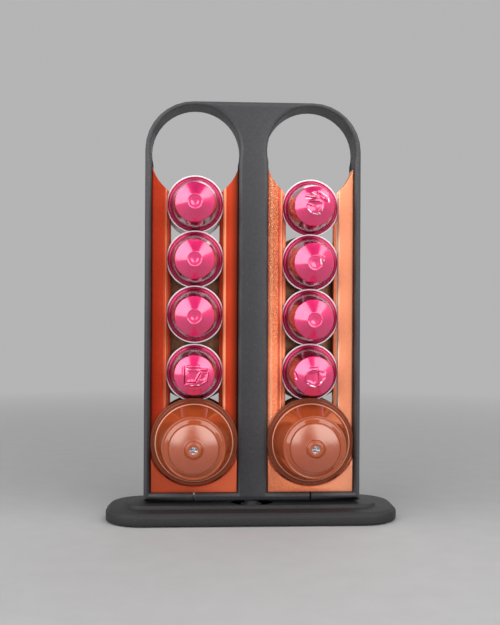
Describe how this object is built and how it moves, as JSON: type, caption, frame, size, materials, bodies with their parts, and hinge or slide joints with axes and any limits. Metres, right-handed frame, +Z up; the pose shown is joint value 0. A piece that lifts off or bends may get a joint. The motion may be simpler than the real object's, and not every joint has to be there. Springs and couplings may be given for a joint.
{
  "type": "coffee capsule dispenser",
  "caption": "Free-standing swivel rack for coffee capsules: columns of grooved rails hold small and large capsules, which go in and come out at a ring on top.",
  "frame": {"origin": "on the swivel axis, at the height of the surface that the feet stand on", "axes": "+Z up along the swivel axis, -Y towards the front of the rack at rest, +X to the right seen from the front"},
  "size_m": [0.186, 0.08, 0.2664],
  "materials": {
    "charcoal_frame": "3-D printed, matte charcoal",
    "charcoal_base": "3-D printed, matte charcoal",
    "copper_silk": "3-D printed, silky copper with a fine grain",
    "zinc_steel": "zinc plated",
    "brass": "plain",
    "rubber": "matte black",
    "magenta_lacquer": "metallic magenta lacquer, bare silver rim",
    "silver_foil": "foil",
    "terracotta_plastic": "glossy terracotta brown",
    "bronze_foil": "brown foil"
  },
  "bodies": {
    "base": {"base": "charcoal_base", "rubber_foot_1": "rubber", "rubber_foot_2": "rubber", "rubber_foot_3": "rubber", "rubber_foot_4": "rubber"},
    "rack": {"rack_frame": "charcoal_frame", "left_insert": "copper_silk", "right_insert": "copper_silk", "pivot_bolt": "zinc_steel", "pivot_washer": "zinc_steel", "threaded_insert": "brass"},
    "front_left_1_large": {"front_left_1_large_cup": "terracotta_plastic", "front_left_1_large_lid": "bronze_foil"},
    "front_left_2_small": {"front_left_2_small_cup": "magenta_lacquer", "front_left_2_small_lid": "silver_foil"},
    "front_left_3_small": {"front_left_3_small_cup": "magenta_lacquer", "front_left_3_small_lid": "silver_foil"},
    "front_left_4_small": {"front_left_4_small_cup": "magenta_lacquer", "front_left_4_small_lid": "silver_foil"},
    "front_left_5_small": {"front_left_5_small_cup": "magenta_lacquer", "front_left_5_small_lid": "silver_foil"},
    "front_right_1_large": {"front_right_1_large_cup": "terracotta_plastic", "front_right_1_large_lid": "bronze_foil"},
    "front_right_2_small": {"front_right_2_small_cup": "magenta_lacquer", "front_right_2_small_lid": "silver_foil"},
    "front_right_3_small": {"front_right_3_small_cup": "magenta_lacquer", "front_right_3_small_lid": "silver_foil"},
    "front_right_4_small": {"front_right_4_small_cup": "magenta_lacquer", "front_right_4_small_lid": "silver_foil"},
    "front_right_5_small": {"front_right_5_small_cup": "magenta_lacquer", "front_right_5_small_lid": "silver_foil"},
    "rear_left_1_large": {"rear_left_1_large_cup": "terracotta_plastic", "rear_left_1_large_lid": "bronze_foil"},
    "rear_left_2_large": {"rear_left_2_large_cup": "terracotta_plastic", "rear_left_2_large_lid": "bronze_foil"},
    "rear_left_3_large": {"rear_left_3_large_cup": "terracotta_plastic", "rear_left_3_large_lid": "bronze_foil"},
    "rear_left_4_small": {"rear_left_4_small_cup": "magenta_lacquer", "rear_left_4_small_lid": "silver_foil"},
    "rear_right_1_large": {"rear_right_1_large_cup": "terracotta_plastic", "rear_right_1_large_lid": "bronze_foil"},
    "rear_right_2_large": {"rear_right_2_large_cup": "terracotta_plastic", "rear_right_2_large_lid": "bronze_foil"},
    "rear_right_3_large": {"rear_right_3_large_cup": "terracotta_plastic", "rear_right_3_large_lid": "bronze_foil"}
  },
  "joints": [
    {"name": "rack_swivel", "type": "hinge", "parent": "base", "child": "rack", "pos_m": [0, 0, 0.0124], "axis": [0, 0, 1], "continuous": true},
    {"name": "lift_front_left_1_large", "type": "slide", "parent": "rack", "child": "front_left_1_large", "axis": [0, 0, 1], "range_m": [0, 0.0024]},
    {"name": "lift_front_left_2_small", "type": "slide", "parent": "front_left_1_large", "child": "front_left_2_small", "axis": [0, 0, 1], "range_m": [0, 0.0024]},
    {"name": "lift_front_left_3_small", "type": "slide", "parent": "front_left_2_small", "child": "front_left_3_small", "axis": [0, 0, 1], "range_m": [0, 0.0024]},
    {"name": "lift_front_left_4_small", "type": "slide", "parent": "front_left_3_small", "child": "front_left_4_small", "axis": [0, 0, 1], "range_m": [0, 0.0024]},
    {"name": "lift_front_left_5_small", "type": "slide", "parent": "front_left_4_small", "child": "front_left_5_small", "axis": [0, 0, 1], "range_m": [0, 0.034]},
    {"name": "lift_front_right_1_large", "type": "slide", "parent": "rack", "child": "front_right_1_large", "axis": [0, 0, 1], "range_m": [0, 0.0024]},
    {"name": "lift_front_right_2_small", "type": "slide", "parent": "front_right_1_large", "child": "front_right_2_small", "axis": [0, 0, 1], "range_m": [0, 0.0024]},
    {"name": "lift_front_right_3_small", "type": "slide", "parent": "front_right_2_small", "child": "front_right_3_small", "axis": [0, 0, 1], "range_m": [0, 0.0024]},
    {"name": "lift_front_right_4_small", "type": "slide", "parent": "front_right_3_small", "child": "front_right_4_small", "axis": [0, 0, 1], "range_m": [0, 0.0024]},
    {"name": "lift_front_right_5_small", "type": "slide", "parent": "front_right_4_small", "child": "front_right_5_small", "axis": [0, 0, 1], "range_m": [0, 0.036]},
    {"name": "lift_rear_left_1_large", "type": "slide", "parent": "rack", "child": "rear_left_1_large", "axis": [0, 0, 1], "range_m": [0, 0.003]},
    {"name": "lift_rear_left_2_large", "type": "slide", "parent": "rear_left_1_large", "child": "rear_left_2_large", "axis": [0, 0, 1], "range_m": [0, 0.003]},
    {"name": "lift_rear_left_3_large", "type": "slide", "parent": "rear_left_2_large", "child": "rear_left_3_large", "axis": [0, 0, 1], "range_m": [0, 0.003]},
    {"name": "lift_rear_left_4_small", "type": "slide", "parent": "rear_left_3_large", "child": "rear_left_4_small", "axis": [0, 0, 1], "range_m": [0, 0.037]},
    {"name": "lift_rear_right_1_large", "type": "slide", "parent": "rack", "child": "rear_right_1_large", "axis": [0, 0, 1], "range_m": [0, 0.01]},
    {"name": "lift_rear_right_2_large", "type": "slide", "parent": "rear_right_1_large", "child": "rear_right_2_large", "axis": [0, 0, 1], "range_m": [0, 0.01]},
    {"name": "lift_rear_right_3_large", "type": "slide", "parent": "rear_right_2_large", "child": "rear_right_3_large", "axis": [0, 0, 1], "range_m": [0, 0.06]}
  ]
}
